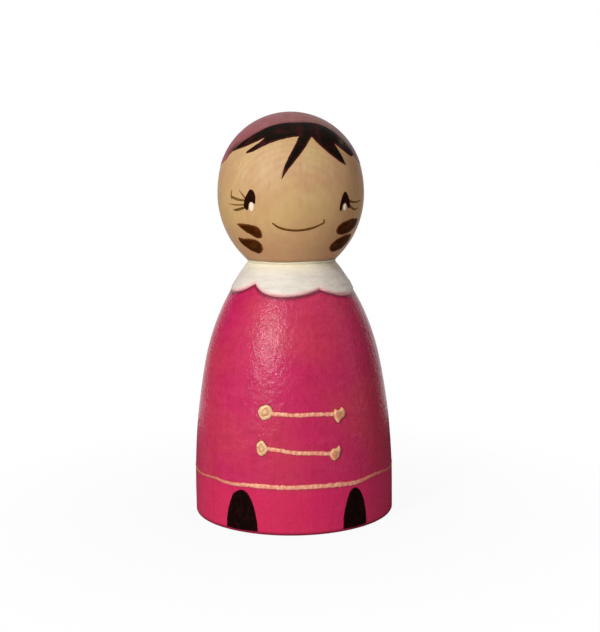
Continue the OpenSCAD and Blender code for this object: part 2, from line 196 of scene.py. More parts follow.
# Lines that cross lie at different heights
LASH_LIFT, LASH_MORE = 0.07, 0.004
SMILE_LIFT, TICK_LIFT = 0.08, 0.085
# How far the underside of a film goes into what it lies on
SINK = 0.04
# Heights that the painted shapes are laid out round
CROWN_Z, EYE_Z, SMILE_Z, CHEEK_Z, SHOE_Z = 84, 70.5, 65, 63, 4

# Coat: height of its waves, the stretch below the neck where they die out, and its mesh
COAT_WAVE, CALM_H = 0.04, 3
COAT_COLUMNS, SKIRT_ROWS, SHOULDER_ROWS = 288, 70, 60
# Collar: height, rounded rim and waver of its edge, and its mesh, finer towards the edge
COLLAR_LIFT, COLLAR_ROUND, COLLAR_WAVER = 0.3, 0.32, 0.05
COLLAR_COLUMNS, COLLAR_ROWS, COLLAR_CROWDING = 480, 34, 0.6
LAP_COLUMNS, LAP_ACROSS = 240, 9
# Raised lines: their mesh, their twist as shares of the rise, and where the hem line starts to thin
LINE_PARTS, LINE_ACROSS = 24, 11
HEM_TWIST, BAR_TWIST, TWIST_PITCH = 0.12, 0.14, 1.15
HEM_THIN, THIN_FROM, THIN_OVER = 0.48, 25, 35


def body_radius(z):
    """Radius of the body at a height."""
    z = np.asarray(z, float)
    skirt = SKIRT_X + np.sqrt(np.maximum(SKIRT_R ** 2 - (z - FOOT_H) ** 2, 0))
    shoulder = SHOULDER_X + np.sqrt(np.maximum(SHOULDER_R ** 2 - (z - SHOULDER_Z) ** 2, 0))
    return np.where(z <= FOOT_H, BASE_R, np.where(z <= SHOULDER_H, skirt, shoulder))


def body_normal(r, z):
    """Outward normal of the body's profile at one of its points."""
    x = np.where(z <= FOOT_H, 0, np.where(z <= SHOULDER_H, SKIRT_X, SHOULDER_X))
    c = np.where(z <= FOOT_H, z, np.where(z <= SHOULDER_H, FOOT_H, SHOULDER_Z))
    n = np.hypot(r - x, z - c)
    return (r - x) / n, (z - c) / n


def head_radius(z):
    """Radius of the head at a height."""
    z = np.asarray(z, float)
    cheek = np.sqrt(np.maximum(CHEEK_R ** 2 - (z - WIDE_Z) ** 2, 0)) - CHEEK_PAST
    brow = np.sqrt(np.maximum(BROW_R ** 2 - (z - WIDE_Z) ** 2, 0)) - BROW_PAST
    crown = np.sqrt(np.maximum(CROWN_R ** 2 - (z - WIDE_Z - CROWN_UP) ** 2, 0))
    return np.where(z <= WIDE_Z, cheek, np.where(z <= JOINT_Z, brow, crown))


def head_normal(r, z):
    """Outward normal of the head's profile at one of its points."""
    x = np.where(z <= WIDE_Z, -CHEEK_PAST, np.where(z <= JOINT_Z, -BROW_PAST, 0))
    c = np.where(z <= JOINT_Z, WIDE_Z, WIDE_Z + CROWN_UP)
    n = np.hypot(r - x, z - c)
    return (r - x) / n, (z - c) / n


def around(phi, r, z):
    """Points in space from angles round the doll, radii and heights."""
    return np.column_stack([r * np.sin(phi), -r * np.cos(phi), z])


class BodyPatch:
    """The body's surface unrolled round a point."""

    def __init__(self, phi, z):
        self.phi = math.radians(phi)
        self.z = z
        self.r = float(body_radius(z))

    def flat(self, points):
        """Flat places of points given by angle and height."""
        p = np.array(points, float)
        return np.column_stack([(np.radians(p[:, 0]) - self.phi) * self.r, p[:, 1] - self.z])

    def solid(self, uv, lift):
        """Points in space over flat places, lifted off the surface."""
        z = uv[:, 1] + self.z
        r = body_radius(z)
        nr, nz = body_normal(r, z)
        return around(self.phi + uv[:, 0] / self.r, r + lift * nr, z + lift * nz)


class HeadPatch:
    """The head's surface laid flat round a point, true to distance from it."""

    def __init__(self, phi, z):
        self.middle = np.array([0, 0, WIDE_Z])
        a = math.radians(phi)
        out = around(np.array([a]), head_radius(np.array([z])), np.array([z]))[0] - self.middle
        self.out = out / np.linalg.norm(out)
        self.right = np.array([math.cos(a), math.sin(a), 0])
        self.up = np.cross(self.out, self.right)

    def flat(self, points):
        p = np.array(points, float)
        d = around(np.radians(p[:, 0]), head_radius(p[:, 1]), p[:, 1]) - self.middle
        d /= np.linalg.norm(d, axis=1)[:, None]
        x, y = d @ self.right, d @ self.up
        turn = np.arctan2(np.hypot(x, y), d @ self.out) * HEAD_R
        flat = np.maximum(np.hypot(x, y), 1e-9)
        return np.column_stack([x / flat * turn, y / flat * turn])

    def solid(self, uv, lift):
        turn = np.hypot(uv[:, 0], uv[:, 1])
        side = uv / np.maximum(turn, 1e-9)[:, None]
        d = (np.cos(turn / HEAD_R)[:, None] * self.out
             + np.sin(turn / HEAD_R)[:, None] * (side[:, :1] * self.right + side[:, 1:] * self.up))
        flat = np.hypot(d[:, 0], d[:, 1])
        # The distance from the middle to the surface, found by halving
        low, high = np.full(len(d), HEAD_R * 0.5), np.full(len(d), HEAD_R * 1.5)
        for _ in range(40):
            mid = (low + high) / 2
            beyond = flat * mid > head_radius(WIDE_Z + d[:, 2] * mid)
            high = np.where(beyond, mid, high)
            low = np.where(beyond, low, mid)
        r, z = flat * low, WIDE_Z + d[:, 2] * low
        nr, nz = head_normal(r, z)
        return around(np.arctan2(d[:, 0], -d[:, 1]), r + lift * nr, z + lift * nz)


def smooth_run(points, parts=8):
    """Points along a smooth line through the given ones."""
    p = np.array(points, float)
    before, after = 2 * p[0] - p[1], 2 * p[-1] - p[-2]
    if np.allclose(p[0], p[-1]):
        before, after = p[-2], p[1]
    q = np.vstack([before, p, after])
    out = []
    for i in range(1, len(q) - 2):
        for t in np.linspace(0, 1, parts, endpoint=False):
            out.append(0.5 * (2 * q[i] + (q[i + 1] - q[i - 1]) * t
                              + (2 * q[i - 1] - 5 * q[i] + 4 * q[i + 1] - q[i + 2]) * t ** 2
                              + (3 * q[i] - q[i - 1] - 3 * q[i + 1] + q[i + 2]) * t ** 3))
    return np.vstack([out, p[-1]])


def outline(patch, loop):
    """Closed flat outline of a loop of runs."""
    return np.vstack([smooth_run(patch.flat(run))[:-1] for run in loop])


def brush_line(patch, points, widths):
    """Closed flat outline of one line of changing width with round ends."""
    w = np.array(widths, float)[:, None]
    line = smooth_run(np.hstack([patch.flat(points), w]))
    xy, half = line[:, :2], line[:, 2] / 2
    way = np.gradient(xy, axis=0)
    way /= np.linalg.norm(way, axis=1)[:, None]
    side = np.column_stack([-way[:, 1], way[:, 0]])
    left, right = xy + side * half[:, None], xy - side * half[:, None]
    turns = np.linspace(0, math.pi, 7)[1:-1, None]
    head = xy[-1] + half[-1] * (np.cos(turns) * side[-1] + np.sin(turns) * way[-1])
    tail = xy[0] + half[0] * (-np.cos(turns) * side[0] - np.sin(turns) * way[0])
    return np.vstack([left, head, right[::-1], tail])


def resample(loop, step, fewest=12):
    """Closed outline with its points an even step apart."""
    ring = np.vstack([loop, loop[:1]])
    run = np.concatenate([[0], np.cumsum(np.linalg.norm(np.diff(ring, axis=0), axis=1))])
    n = max(fewest, int(run[-1] / step))
    t = np.linspace(0, run[-1], n, endpoint=False)
    return np.column_stack([np.interp(t, run, ring[:, 0]), np.interp(t, run, ring[:, 1])])


def ripple(*place):
    """Smooth noise of about -1 to 1."""
    return noise.noise(Vector(place))


def sideways(loop):
    """Unit vectors across a closed outline, one at each of its points."""
    way = np.roll(loop, -1, axis=0) - np.roll(loop, 1, axis=0)
    way /= np.maximum(np.linalg.norm(way, axis=1), 1e-9)[:, None]
    return np.column_stack([way[:, 1], -way[:, 0]])


def wavering(loop, amount, seed, ragged):
    """Outline moved in and out by the hand that painted it, and by the hairs of the brush."""
    hand = [ripple(x * 0.9, y * 0.9, seed) + 0.5 * ripple(x * 2.6, y * 2.6, seed) for x, y in loop]
    hairs = [ripple(x * 4.5, y * 4.5, seed) for x, y in loop]
    return loop + sideways(loop) * (np.array(hand) * amount + np.array(hairs) * ragged)[:, None]


def inside(points, rim):
    """Whether each point lies inside a closed outline."""
    hit = np.zeros(len(points), bool)
    for a, b in zip(rim, np.roll(rim, -1, axis=0)):
        if a[1] == b[1]:
            continue
        cross = (a[1] > points[:, 1]) != (b[1] > points[:, 1])
        x = a[0] + (points[:, 1] - a[1]) * (b[0] - a[0]) / (b[1] - a[1])
        hit ^= cross & (points[:, 0] < x)
    return hit


def rim_distance(points, rim):
    """Distance of each point from a closed outline."""
    best = np.full(len(points), 1e9)
    for a, b in zip(rim, np.roll(rim, -1, axis=0)):
        way = b - a
        t = np.clip((points - a) @ way / max(way @ way, 1e-12), 0, 1)
        best = np.minimum(best, np.linalg.norm(points - a - t[:, None] * way, axis=1))
    return best


def seat(piece, material, node):
    """Give a piece its material and its body, and hide the node of paint that it stands for."""
    piece.data.materials.append(material)
    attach(piece, "root")
    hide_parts(node)


def make_piece(name, verts, faces, depth):
    """Smooth mesh object from points in millimetres, each with its depth for the material."""
    mesh = bpy.data.meshes.new(name)
    mesh.from_pydata([Vector(v) * MM for v in verts], [], [tuple(int(i) for i in f) for f in faces])
    mesh.attributes.new("depth", "FLOAT", "POINT").data.foreach_set("value", np.asarray(depth, "f"))
    mesh.validate()
    mesh.polygons.foreach_set("use_smooth", [True] * len(mesh.polygons))
    mesh.update()
    piece = bpy.data.objects.new(name, mesh)
    bpy.context.scene.collection.objects.link(piece)
    return piece


def points_by_rim(rim, edge):
    """Points along the rounded rim of a film, inside its outline."""
    rings = []
    for share in (0.3, 0.9):
        for sign in (1, -1):
            ring = rim + sideways(rim) * edge * share * sign
            clear = rim_distance(ring, rim) > edge * share * 0.85
            rings.append(ring[inside(ring, rim) & clear])
    return rings


def points_within(rim, edge, step):
    """Points of an even triangular grid over the rest of a film."""
    low, high = rim.min(0), rim.max(0)
    rows = []
    for i, y in enumerate(np.arange(low[1], high[1], step * 0.866)):
        x = np.arange(low[0] + (i % 2) * step / 2, high[0], step)
        rows.append(np.column_stack([x, np.full(len(x), y)]))
    grid = np.vstack(rows)
    grid = grid[inside(grid, rim)]
    return grid[rim_distance(grid, rim) > edge + step * 0.4]


def triangles(rim, points):
    """Triangles over points, of which the rim's come first, and the points that they use."""
    n = len(rim)
    edges = [(i, (i + 1) % n) for i in range(n)]
    verts, _, faces = delaunay_2d_cdt([Vector(p) for p in points], edges, [], 0, 1e-5)[:3]
    flat = np.array([(v.x, v.y) for v in verts])
    faces = np.array([tuple(f) for f in faces])
    faces = faces[inside(flat[faces].mean(1), rim)]
    used, places = np.unique(faces, return_inverse=True)
    return places.reshape(-1, 3), flat[used]


def film(name, patch, loop, seed, lift, edge, step, waver, relief, ragged=0.0):
    """Closed film of paint on a surface, with a rounded rim and a wavering outline."""
    fine = min(step, edge, RAGGED_STEP if ragged else step)
    rim = wavering(resample(loop, fine), waver, seed, ragged)
    points = np.vstack([rim, *points_by_rim(rim, edge), points_within(rim, edge, step)])
    tris, flat = triangles(rim, points)
    away = rim_distance(flat, rim)
    on_rim = away < 1e-4
    share = np.clip(away / edge, 0, 1)
    bumps = np.array([ripple(x * 0.8, y * 0.8, seed + 7) for x, y in flat])
    height = lift * np.sqrt(1 - (1 - share) ** 2) * (1 + relief * bumps)
    top = patch.solid(flat, np.where(on_rim, -SINK, height))
    # The underside shares the rim's own points with the top
    inner = ~on_rim
    under = patch.solid(flat[inner], np.full(inner.sum(), -SINK))
    below = np.arange(len(flat))
    below[inner] = len(flat) + np.arange(inner.sum())
    all_on_rim = on_rim[tris].all(1)
    faces = [tuple(f) for f in tris] + [tuple(f[::-1]) for f in below[tris[~all_on_rim]]]
    return make_piece(name, np.vstack([top, under]), faces, np.concatenate([away, away[inner]]))


# Materials: clouds of noise have their scale per metre, and a place along an axis is in millimetres

def srgb(r, g, b):
    """Colour as it looks on a screen, 0 to 255, to the renderer's linear values."""
    def line(c):
        c = c / 255
        return c / 12.92 if c <= 0.04045 else ((c + 0.055) / 1.055) ** 2.4
    return (line(r), line(g), line(b), 1)


class Nodes:
    """Builds the node tree of one material."""

    def __init__(self, name, roughness=0.5, gloss=0.5, ior=1.5):
        self.material = bpy.data.materials.new(name)
        self.material.use_nodes = True
        self.tree = self.material.node_tree
        self.shader = self.tree.nodes["Principled BSDF"]
        self.shader.inputs["Roughness"].default_value = roughness
        self.shader.inputs["Specular IOR Level"].default_value = gloss
        self.shader.inputs["IOR"].default_value = ior
        self.place = self.add("ShaderNodeTexCoord").outputs["Object"]
        self.colour = None

    def add(self, kind, **values):
        node = self.tree.nodes.new(kind)
        for key, value in values.items():
            setattr(node, key, value)
        return node

    def join(self, a, b):
        self.tree.links.new(a, b)

    def clouds(self, scale, detail=4.0, roughness=0.55, squeeze=(1, 1, 1), distortion=0.0):
        """Noise that is drawn out along an axis where its squeeze is small."""
        squeezed = self.add("ShaderNodeMapping", vector_type="POINT")
        squeezed.inputs["Scale"].default_value = squeeze
        self.join(self.place, squeezed.inputs["Vector"])
        node = self.add("ShaderNodeTexNoise")
        node.inputs["Scale"].default_value = scale
        node.inputs["Detail"].default_value = detail
        node.inputs["Roughness"].default_value = roughness
        node.inputs["Distortion"].default_value = distortion
        self.join(squeezed.outputs["Vector"], node.inputs["Vector"])
        return node.outputs["Fac"]

    def span(self, value, low, high, to_low=0.0, to_high=1.0):
        """A value from low to high as one from to_low to to_high."""
        node = self.add("ShaderNodeMapRange", clamp=True)
        self.join(value, node.inputs["Value"])
        node.inputs["From Min"].default_value = low
        node.inputs["From Max"].default_value = high
        node.inputs["To Min"].default_value = to_low
        node.inputs["To Max"].default_value = to_high
        return node.outputs["Result"]

    def math(self, kind, a, b=0.0):
        node = self.add("ShaderNodeMath", operation=kind)
        for socket, value in zip(node.inputs, (a, b)):
            if isinstance(value, (int, float)):
                socket.default_value = value
            else:
                self.join(value, socket)
        return node.outputs["Value"]

    def times(self, a, b):
        return self.math("MULTIPLY", a, b)

    def plus(self, a, b):
        return self.math("ADD", a, b)

    def mix(self, share, a, b):
        """Colour that goes from a to b as the share goes from 0 to 1."""
        node = self.add("ShaderNodeMix", data_type="RGBA")
        self.join(share, node.inputs["Factor"])
        for socket, value in zip([s for s in node.inputs if s.type == "RGBA"], (a, b)):
            if isinstance(value, tuple):
                socket.default_value = value
            else:
                self.join(value, socket)
        return [s for s in node.outputs if s.type == "RGBA"][0]

    def tint(self, share, paint):
        """Lay a paint over the colour so far."""
        self.colour = self.mix(share, self.colour, paint)

    def depth(self):
        """Millimetres from the outline of a painted shape, and on the coat below the collar's edge."""
        node = self.add("ShaderNodeAttribute", attribute_type="GEOMETRY", attribute_name="depth")
        return node.outputs["Fac"]

    def axis(self, name):
        node = self.add("ShaderNodeSeparateXYZ")
        self.join(self.place, node.inputs["Vector"])
        return node.outputs[name]

    def along(self, axis, low, high, to_low=0.0, to_high=1.0):
        """Share that changes between two places along an axis."""
        return self.span(self.axis(axis), low * MM, high * MM, to_low, to_high)

    def rings(self, heart, tilt, period, distortion):
        """Growth rings round the tree's heart, a line through a place in metres that leans by a tilt."""
        node = self.add("ShaderNodeTexWave", wave_type="RINGS", rings_direction="Z")
        node.inputs["Scale"].default_value = math.pi / 10 / (period * MM)
        node.inputs["Distortion"].default_value = distortion
        node.inputs["Detail"].default_value = 3
        node.inputs["Detail Scale"].default_value = 0.35
        place = self.add("ShaderNodeMapping", vector_type="TEXTURE")
        place.inputs["Location"].default_value = heart
        place.inputs["Rotation"].default_value = (math.radians(tilt), 0, 0)
        self.join(self.place, place.inputs["Vector"])
        self.join(place.outputs["Vector"], node.inputs["Vector"])
        return node.outputs["Fac"]

    def bump(self, height, distance, strength):
        node = self.add("ShaderNodeBump")
        node.inputs["Strength"].default_value = strength
        node.inputs["Distance"].default_value = distance
        self.join(height, node.inputs["Height"])
        self.join(node.outputs["Normal"], self.shader.inputs["Normal"])

    def finish(self, roughness=None):
        self.join(self.colour, self.shader.inputs["Base Color"])
        if roughness is not None:
            self.join(roughness, self.shader.inputs["Roughness"])
        return self.material


def wood(name, light, dark, warm, heart, tilt, seam_shade=False):
    """Turned close-grained wood under a thin varnish, with the grain along the axis."""
    n = Nodes(name, gloss=0.35, ior=1.4)
    rings = n.span(n.rings(heart, tilt, 0.9, 1.6), 0.15, 0.9)
    fibres = n.clouds(900, 4, 0.6, (1, 1, 0.07))
    flecks = n.span(n.clouds(1500, 2, 0.5, (1, 1, 0.14)), 0.6, 0.72)
    blotches = n.span(n.clouds(150, 3, 0.55), 0.42, 0.68)
    yellow = n.span(n.clouds(210, 3, 0.6, (1, 1.3, 0.8)), 0.5, 0.72)
    rays = n.span(n.clouds(1100, 3, 0.6, (1, 1, 0.25)), 0.5, 0.75)
    n.colour = n.mix(n.times(rings, 0.19), light, dark)
    n.tint(n.times(blotches, 0.6), warm)
    n.tint(n.times(yellow, 0.45), srgb(212, 182, 116))
    n.tint(n.span(fibres, 0.4, 0.75, 0, 0.26), dark)
    n.tint(n.times(rays, 0.2), srgb(236, 206, 166))
    n.tint(n.times(flecks, 0.14), srgb(140, 92, 55))
    # Painted shade: darker and yellower below the brow, where the head turns down away from the lamps
    n.tint(n.along("Z", 69, 77, 0.4, 0), srgb(204, 166, 100))
    # Painted shade: warmer and darker towards the chin, which faces down away from the lamps
    n.tint(n.along("Z", 57.5, 67, 0.7, 0), warm)
    # Painted shade: redder and darker on the +X side, away from the key lamp
    n.tint(n.along("X", 3, 15, 0, 0.55), srgb(206, 146, 108))
    # Painted shade in the seam under the head, just above where it meets the collar
    if seam_shade:
        n.tint(n.along("Z", 57.3, 58.1, 0.6, 0), srgb(124, 106, 78))
    n.bump(n.plus(n.times(fibres, 0.6), n.times(rings, 0.12)), 0.00014, 0.5)
    return n.finish(n.span(fibres, 0.3, 0.7, 0.4, 0.55))


def coat_paint():
    """Brushed satin paint, mottled, with the brush's ridges and the grain below it."""
    n = Nodes("pink_coat_paint", gloss=0.5, ior=1.4)
    patches = n.span(n.clouds(62, 3, 0.5), 0.42, 0.6)
    mottle = n.clouds(620, 5, 0.65)
    streaks = n.clouds(460, 4, 0.6, (1, 1, 0.1))
    strokes = n.clouds(330, 3, 0.55, (0.3, 0.3, 1.4), 0.8)
    n.colour = n.mix(patches, srgb(206, 54, 88), srgb(205, 40, 96))
    n.tint(n.span(mottle, 0.45, 0.75, 0, 0.5), srgb(172, 24, 68))
    n.tint(n.span(streaks, 0.5, 0.75, 0, 0.4), srgb(182, 30, 66))
    n.tint(n.span(strokes, 0.52, 0.75, 0, 0.2), srgb(222, 76, 112))
    # Painted shade: darker and redder on the +X side, away from the key lamp
    n.tint(n.along("X", 10, 21, 0, 0.5), srgb(190, 24, 62))
    n.tint(n.along("Z", 8.5, 11.5, 0.5, 0), srgb(228, 34, 98))
    n.tint(n.along("Z", 0.3, 0.9, 0.75, 0), srgb(104, 12, 34))
    # Painted shadow: darker just below the collar's scalloped edge, where the collar shades the coat
    n.tint(n.span(n.depth(), 0.15, 0.75, 0.75, 0), srgb(96, 20, 48))
    pits = n.clouds(1700, 3, 0.6, (1, 1, 0.75))
    lumps = n.clouds(760, 3, 0.55)
    height = n.plus(n.times(pits, 0.8), n.times(strokes, 0.35))
    height = n.plus(height, n.times(streaks, 0.45))
    height = n.plus(height, lumps)
    n.bump(height, 0.0003, 0.5)
    return n.finish(n.span(mottle, 0.3, 0.7, 0.22, 0.33))


def collar_paint():
    """Thick cream paint with brush marks, tinted by the coat's paint along its edge."""
    n = Nodes("cream_collar_paint", gloss=0.4, ior=1.4)
    strokes = n.clouds(420, 4, 0.6, (0.3, 0.3, 1.4), 0.6)
    grey = n.span(n.clouds(210, 3, 0.55), 0.42, 0.62)
    n.colour = n.mix(grey, srgb(243, 235, 222), srgb(231, 226, 214))
    # Painted light: lighter and warmer on the +X side, the side away from the key lamp
    n.tint(n.along("X", 2, 13, 0, 0.7), srgb(255, 238, 228))
    fine = n.clouds(1250, 3, 0.6, (0.3, 0.3, 1.3))
    n.tint(n.span(fine, 0.48, 0.7, 0, 0.35), srgb(208, 204, 190))
    n.tint(n.span(strokes, 0.46, 0.72, 0, 0.6), srgb(226, 212, 198))
    n.tint(n.along("Z", 54.6, 56.2, 0, 0.7), srgb(247, 238, 208))
    tint = n.times(n.span(n.depth(), 0.25, 1.0, 1, 0), n.span(grey, 0, 1, 1.0, 0.7))
    n.tint(tint, srgb(255, 176, 180))
    n.bump(n.plus(strokes, n.times(fine, 0.5)), 0.0005, 0.8)
    return n.finish(n.span(strokes, 0.3, 0.7, 0.45, 0.6))


def hood_paint():
    """Thin wash of paint that lets the grain show, pinker at one side and dark along the hair."""
    n = Nodes("plum_hood_paint", gloss=0.4, ior=1.4)
    fibres = n.clouds(700, 4, 0.6, (1, 1, 0.1))
    bands = n.clouds(520, 3, 0.6, (0.25, 0.6, 1.2), 0.4)
    patches = n.span(n.clouds(130, 3, 0.55), 0.38, 0.66)
    n.colour = n.mix(n.along("X", -10, 3), srgb(158, 84, 91), srgb(145, 88, 85))
    # Painted reflection: lighter and greyer towards the +X rim, as a rim light
    n.tint(n.along("X", 3, 11), srgb(160, 130, 116))
    n.tint(n.times(patches, 0.4), srgb(158, 84, 92))
    n.tint(n.span(fibres, 0.42, 0.7, 0, 0.4), srgb(128, 70, 74))
    n.tint(n.span(bands, 0.52, 0.72, 0, 0.4), srgb(176, 122, 104))
    shade = n.times(n.span(n.depth(), 0.3, 2.3, 0.95, 0), n.along("Z", 79.8, 81.8))
    n.tint(shade, srgb(66, 26, 34))
    n.bump(n.plus(fibres, bands), 0.0002, 0.5)
    return n.finish(n.span(fibres, 0.3, 0.7, 0.45, 0.6))


def stroke_paint(name, base, thin, scale, share, rim, roughness=0.42, worn=0.0):
    """Paint of one stroke, thinner in places and along its rim, and if asked worn at its upper right."""
    n = Nodes(name, gloss=0.1, ior=1.25)
    wash = n.clouds(scale, 4, 0.62)
    n.colour = n.mix(n.span(wash, 0.48, 0.7, 0, share), base, thin)
    ragged = n.plus(n.depth(), n.span(wash, 0.3, 0.7, -rim / 2, rim / 2))
    n.tint(n.span(ragged, 0.0, rim, 0.85, 0.0), thin)
    if worn:
        corner = n.times(n.along("X", 9.2, 11.2), n.along("Z", 81.5, 83))
        hairs = n.span(n.clouds(1300, 3, 0.6, (0.5, 0.5, 1.2)), 0.4, 0.6, 0, worn)
        n.tint(n.times(corner, hairs), srgb(134, 110, 98))
    n.bump(wash, 0.00014, 0.5)
    return n.finish(n.span(wash, 0.3, 0.7, roughness - 0.07, roughness + 0.1))


def gold_paint(name, base, bright, deep, is_line):
    """Thick gold paint with a slight metal sheen: lines fade towards the sides, and knobs have a swirl."""
    n = Nodes(name, gloss=0.4, ior=1.4)
    dabs = n.clouds(1300, 3, 0.55)
    n.colour = n.mix(n.span(dabs, 0.42, 0.66), base, bright)
    n.tint(n.span(n.clouds(900, 3, 0.6), 0.54, 0.72, 0, 0.7), deep)
    if is_line:
        side = n.math("ABSOLUTE", n.math("SUBTRACT", n.axis("X"), -2 * MM))
        n.tint(n.span(side, 9 * MM, 21 * MM, 0, 0.6), srgb(206, 62, 62))
        height = dabs
    else:
        bent = n.times(n.clouds(420, 2, 0.5), 5.0)
        turn = n.plus(n.times(n.depth(), 5.4), bent)
        swirl = n.span(n.math("SINE", turn), -0.1, 0.9)
        n.tint(n.times(swirl, 0.6), deep)
        n.tint(n.along("X", -2, 6, 0, 0.32), srgb(236, 112, 96))
        height = n.math("SUBTRACT", dabs, n.times(swirl, 0.9))
    n.tint(n.span(n.depth(), 0.04, 0.26, 0.8, 0), srgb(170, 88, 44))
    n.bump(height, 0.0002, 0.7)
    n.shader.inputs["Metallic"].default_value = 0.1
    return n.finish(n.span(dabs, 0.3, 0.7, 0.36, 0.5))


def floor_material():
    """White floor that keeps the doll's shadow and is white to the camera and in gloss."""
    n = Nodes("white_floor", 0.9, 0.1)
    n.shader.inputs["Base Color"].default_value = srgb(226, 226, 226)
    squares = [n.math("POWER", n.axis(name), 2.0) for name in ("X", "Y")]
    away = n.math("SQRT", n.plus(*squares))
    share = n.span(away, SHADE_NEAR, SHADE_FAR, SHADE_WHITE, 1.0)
    glow = n.add("ShaderNodeEmission")
    glow.inputs["Color"].default_value = (1, 1, 1, 1)
    path = n.add("ShaderNodeLightPath")
    seen = n.math("MAXIMUM", path.outputs["Is Camera Ray"], path.outputs["Is Glossy Ray"])
    seen = n.math("MAXIMUM", seen, path.outputs["Is Transmission Ray"])
    blend = n.add("ShaderNodeMixShader")
    n.join(n.times(seen, share), blend.inputs["Fac"])
    n.join(n.shader.outputs["BSDF"], blend.inputs[1])
    n.join(glow.outputs["Emission"], blend.inputs[2])
    n.join(blend.outputs["Shader"], n.tree.nodes["Material Output"].inputs["Surface"])
    return n.material


# Pieces

def ring_faces(columns, rows, closed=True):
    """Faces between columns of points that each go once round a shell or a tube."""
    faces = []
    for i in range(columns if closed else columns - 1):
        a, b = i * rows, (i + 1) % columns * rows
        for j in range(rows):
            k = (j + 1) % rows
            faces.append((a + j, b + j, b + k, a + k))
    return faces


def make_coat(material):
    """Closed shell of paint round the body, waved as a brush leaves it."""
    foot = [(BASE_R - EDGE_W - COAT_T, 0, 0), (BASE_R - EDGE_W, 0.02, 0),
            (BASE_R - EDGE_W / 3, EDGE_W / 3, 0), (BASE_R, EDGE_W, 0.3), (BASE_R, 2 * EDGE_W, 0.7)]
    outer_z = np.concatenate([np.linspace(3 * EDGE_W, SHOULDER_H, SKIRT_ROWS),
                              np.linspace(SHOULDER_H, NECK_H, SHOULDER_ROWS)[1:]])
    outer = list(zip(body_radius(outer_z), outer_z, np.minimum(1, (NECK_H - outer_z) / CALM_H)))
    inner_z = np.linspace(NECK_H, EDGE_W, SHOULDER_ROWS)
    inner = [(r - COAT_T, z, 0) for r, z in zip(body_radius(inner_z), inner_z)]
    profile = foot + outer + inner
    verts, below_collar = [], []
    for phi in (2 * math.pi * i / COAT_COLUMNS for i in range(COAT_COLUMNS)):
        s, c = math.sin(phi), -math.cos(phi)
        for r, z, waved in profile:
            if waved:
                place = Vector((s * r, c * r, z))
                r += waved * COAT_WAVE * (ripple(*place * 0.12) + 0.4 * ripple(*place * 0.45))
            verts.append((s * r, c * r, z))
            below_collar.append(collar_edge(math.degrees(phi)) - z)
    piece = make_piece("coat", verts, ring_faces(COAT_COLUMNS, len(profile)), below_collar)
    seat(piece, material, "coat_paint")


def collar_edge(phi):
    """Height of the collar's scalloped edge."""
    n = len(COLLAR_VALLEYS)
    first = COLLAR_VALLEYS[0][0]
    phi = (phi - first) % 360 + first
    for i in range(n):
        a, high_a = COLLAR_VALLEYS[i]
        b, high_b = COLLAR_VALLEYS[(i + 1) % n]
        b += 360 if i == n - 1 else 0
        if a <= phi <= b:
            t = (phi - a) / (b - a)
            high = high_a + (high_b - high_a) * t
            return COLLAR_LOWS[i] + (high - COLLAR_LOWS[i]) * abs(2 * t - 1) ** 2.3
    return COLLAR_LOWS[0]


def make_collar(material):
    """Thick brushed film from the neck down to its scallops."""
    verts, faces, depth = [], [], []
    for i in range(COLLAR_COLUMNS):
        deg = 360 * i / COLLAR_COLUMNS - 180
        low = collar_edge(deg) + COLLAR_WAVER * ripple(deg * 0.11, 0, 3)
        z = NECK_H - (NECK_H - low) * (1 - (1 - np.linspace(0, 1, COLLAR_ROWS)) ** COLLAR_CROWDING)
        r = body_radius(z)
        nr, nz = body_normal(r, z)
        share = np.clip((z - low) / COLLAR_ROUND, 0, 1)
        strokes = np.array([ripple(deg * 0.05, zz * 1.1, 5) for zz in z])
        height = COLLAR_LIFT * np.sqrt(1 - (1 - share) ** 2) * (1 + 0.3 * strokes)
        height[-1] = -SINK
        phi = np.full(COLLAR_ROWS, math.radians(deg))
        verts += list(around(phi, r + height * nr, np.minimum(z + height * nz, NECK_H)))
        verts += list(around(phi[:1], r[:1] - SINK, z[:1]))
        depth += list(z - low) + [z[0] - low]
    last, step = COLLAR_ROWS, COLLAR_ROWS + 1
    for i in range(COLLAR_COLUMNS):
        a, b = i * step, (i + 1) % COLLAR_COLUMNS * step
        for j in range(last - 1):
            faces.append((a + j, a + j + 1, b + j + 1, b + j))
        faces.append((a, b, b + last, a + last))
        faces.append((a + last, b + last, b + last - 1, a + last - 1))
    seat(make_piece("collar", verts, faces, depth), material, "collar_paint")


def make_collar_lap(material):
    """Roll of the collar's paint where the brush ran onto the underside of the head."""
    verts = []
    for i in range(LAP_COLUMNS):
        phi = math.radians(360 * i / LAP_COLUMNS)
        top = NECK_H + LAP_H * (1 + 0.25 * ripple(math.cos(phi) * 1.5, math.sin(phi) * 1.5, 2))
        z = np.linspace(NECK_H + 0.01, top, LAP_ACROSS)
        r = head_radius(z)
        nr, nz = head_normal(r, z)
        lift = LAP_RISE * np.sqrt(np.maximum(0, 1 - np.linspace(-0.6, 1, LAP_ACROSS) ** 2)) - 0.01
        phi = np.full(LAP_ACROSS, phi)
        verts += list(around(phi, r + lift * nr, np.maximum(z + lift * nz, NECK_H)))
        verts += list(around(phi[:1], r[:1] - SINK, z[:1]))
    piece = make_piece("collar_lap", verts, ring_faces(LAP_COLUMNS, LAP_ACROSS + 1), [1.0] * len(verts))
    seat(piece, material, "collar_paint")


